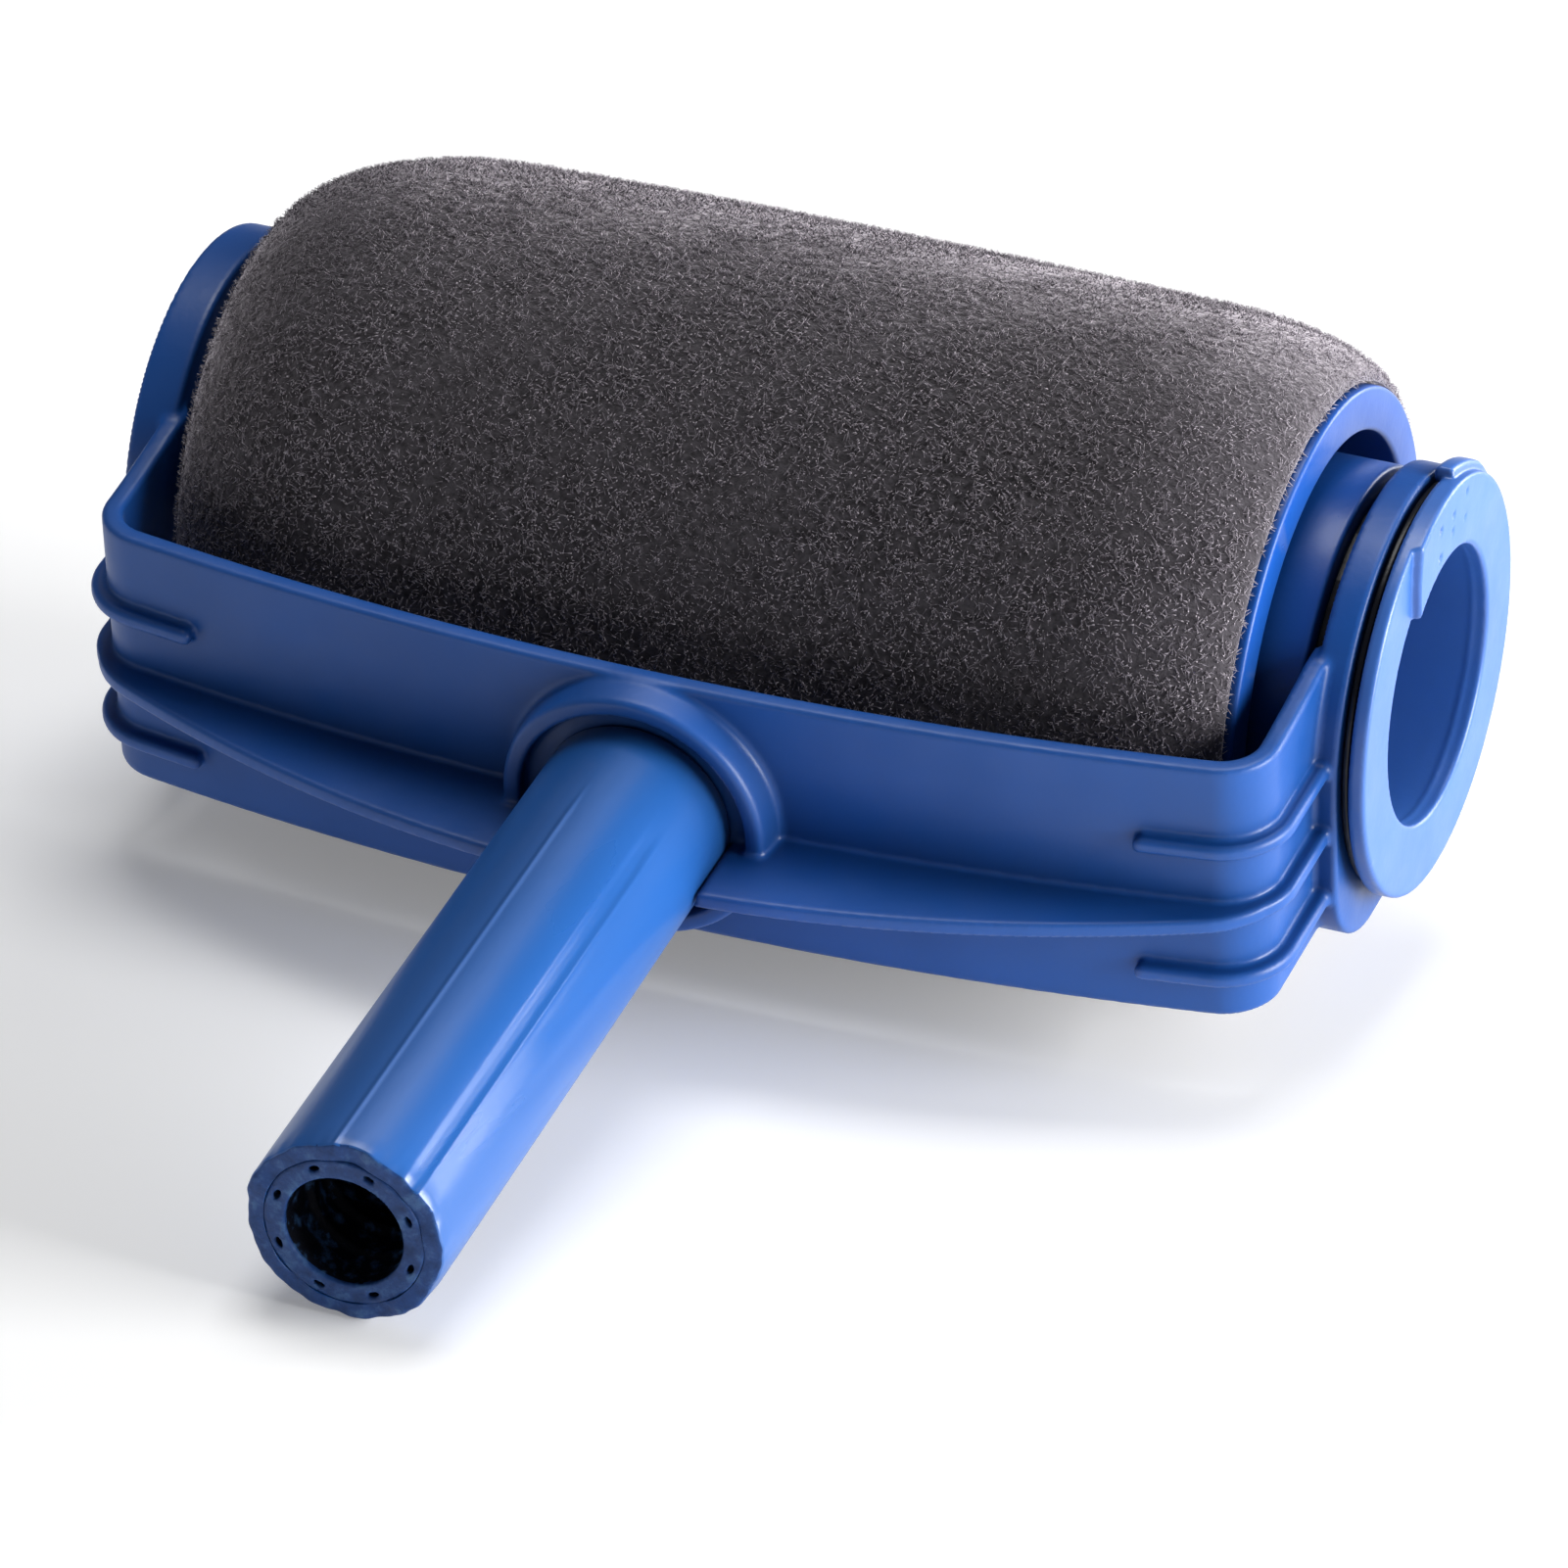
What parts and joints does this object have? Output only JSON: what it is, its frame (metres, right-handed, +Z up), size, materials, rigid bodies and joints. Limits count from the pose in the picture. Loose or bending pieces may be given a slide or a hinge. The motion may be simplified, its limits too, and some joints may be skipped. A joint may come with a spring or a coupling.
{
  "type": "paint roller",
  "caption": "Refillable paint roller: a flock-covered, paint-holding drum spins in a bowed plastic yoke with a socket handle and an open filler neck.",
  "frame": {"origin": "middle of the footprint, on the floor that the sleeve and the handle's tip rest on", "axes": "+X along the drum's axis towards the filler neck, -Y towards the handle's tip, +Z up; the handle slopes down to the floor"},
  "size_m": [0.1826, 0.1948, 0.0896],
  "materials": {
    "frame_blue": "satin moulded polypropylene",
    "handle_blue": "glossy extruded tube",
    "insert_blue": "dull cut end",
    "drum_blue": "satin moulded",
    "neck_blue": "satin moulded, lighter",
    "bearing_black": "polished acetal",
    "seal_rubber": "matt",
    "steel": "zinc plated",
    "liner_foam": "open-cell foam",
    "sleeve_pile": "short flocked pile"
  },
  "bodies": {
    "yoke": {"yoke_frame": "frame_blue", "handle_tube": "handle_blue", "pole_insert": "insert_blue", "handle_screw": "steel", "handle_screw_washer": "steel", "neck_bush": "bearing_black", "axle_stub": "bearing_black"},
    "drum": {"drum_shell": "drum_blue", "fill_end_cap": "drum_blue", "closed_end_cap": "drum_blue", "filler_neck": "neck_blue", "neck_seal": "seal_rubber", "fill_end_seal": "seal_rubber", "closed_end_seal": "seal_rubber", "axle_bush": "bearing_black", "fill_end_washer": "bearing_black", "closed_end_washer": "bearing_black", "foam_liner": "liner_foam", "pile_sleeve": "sleeve_pile"}
  },
  "joints": [
    {"name": "drum_spin", "type": "hinge", "parent": "yoke", "child": "drum", "pos_m": [0, 0.05262, 0.0448], "axis": [1, 0, 0], "continuous": true}
  ]
}
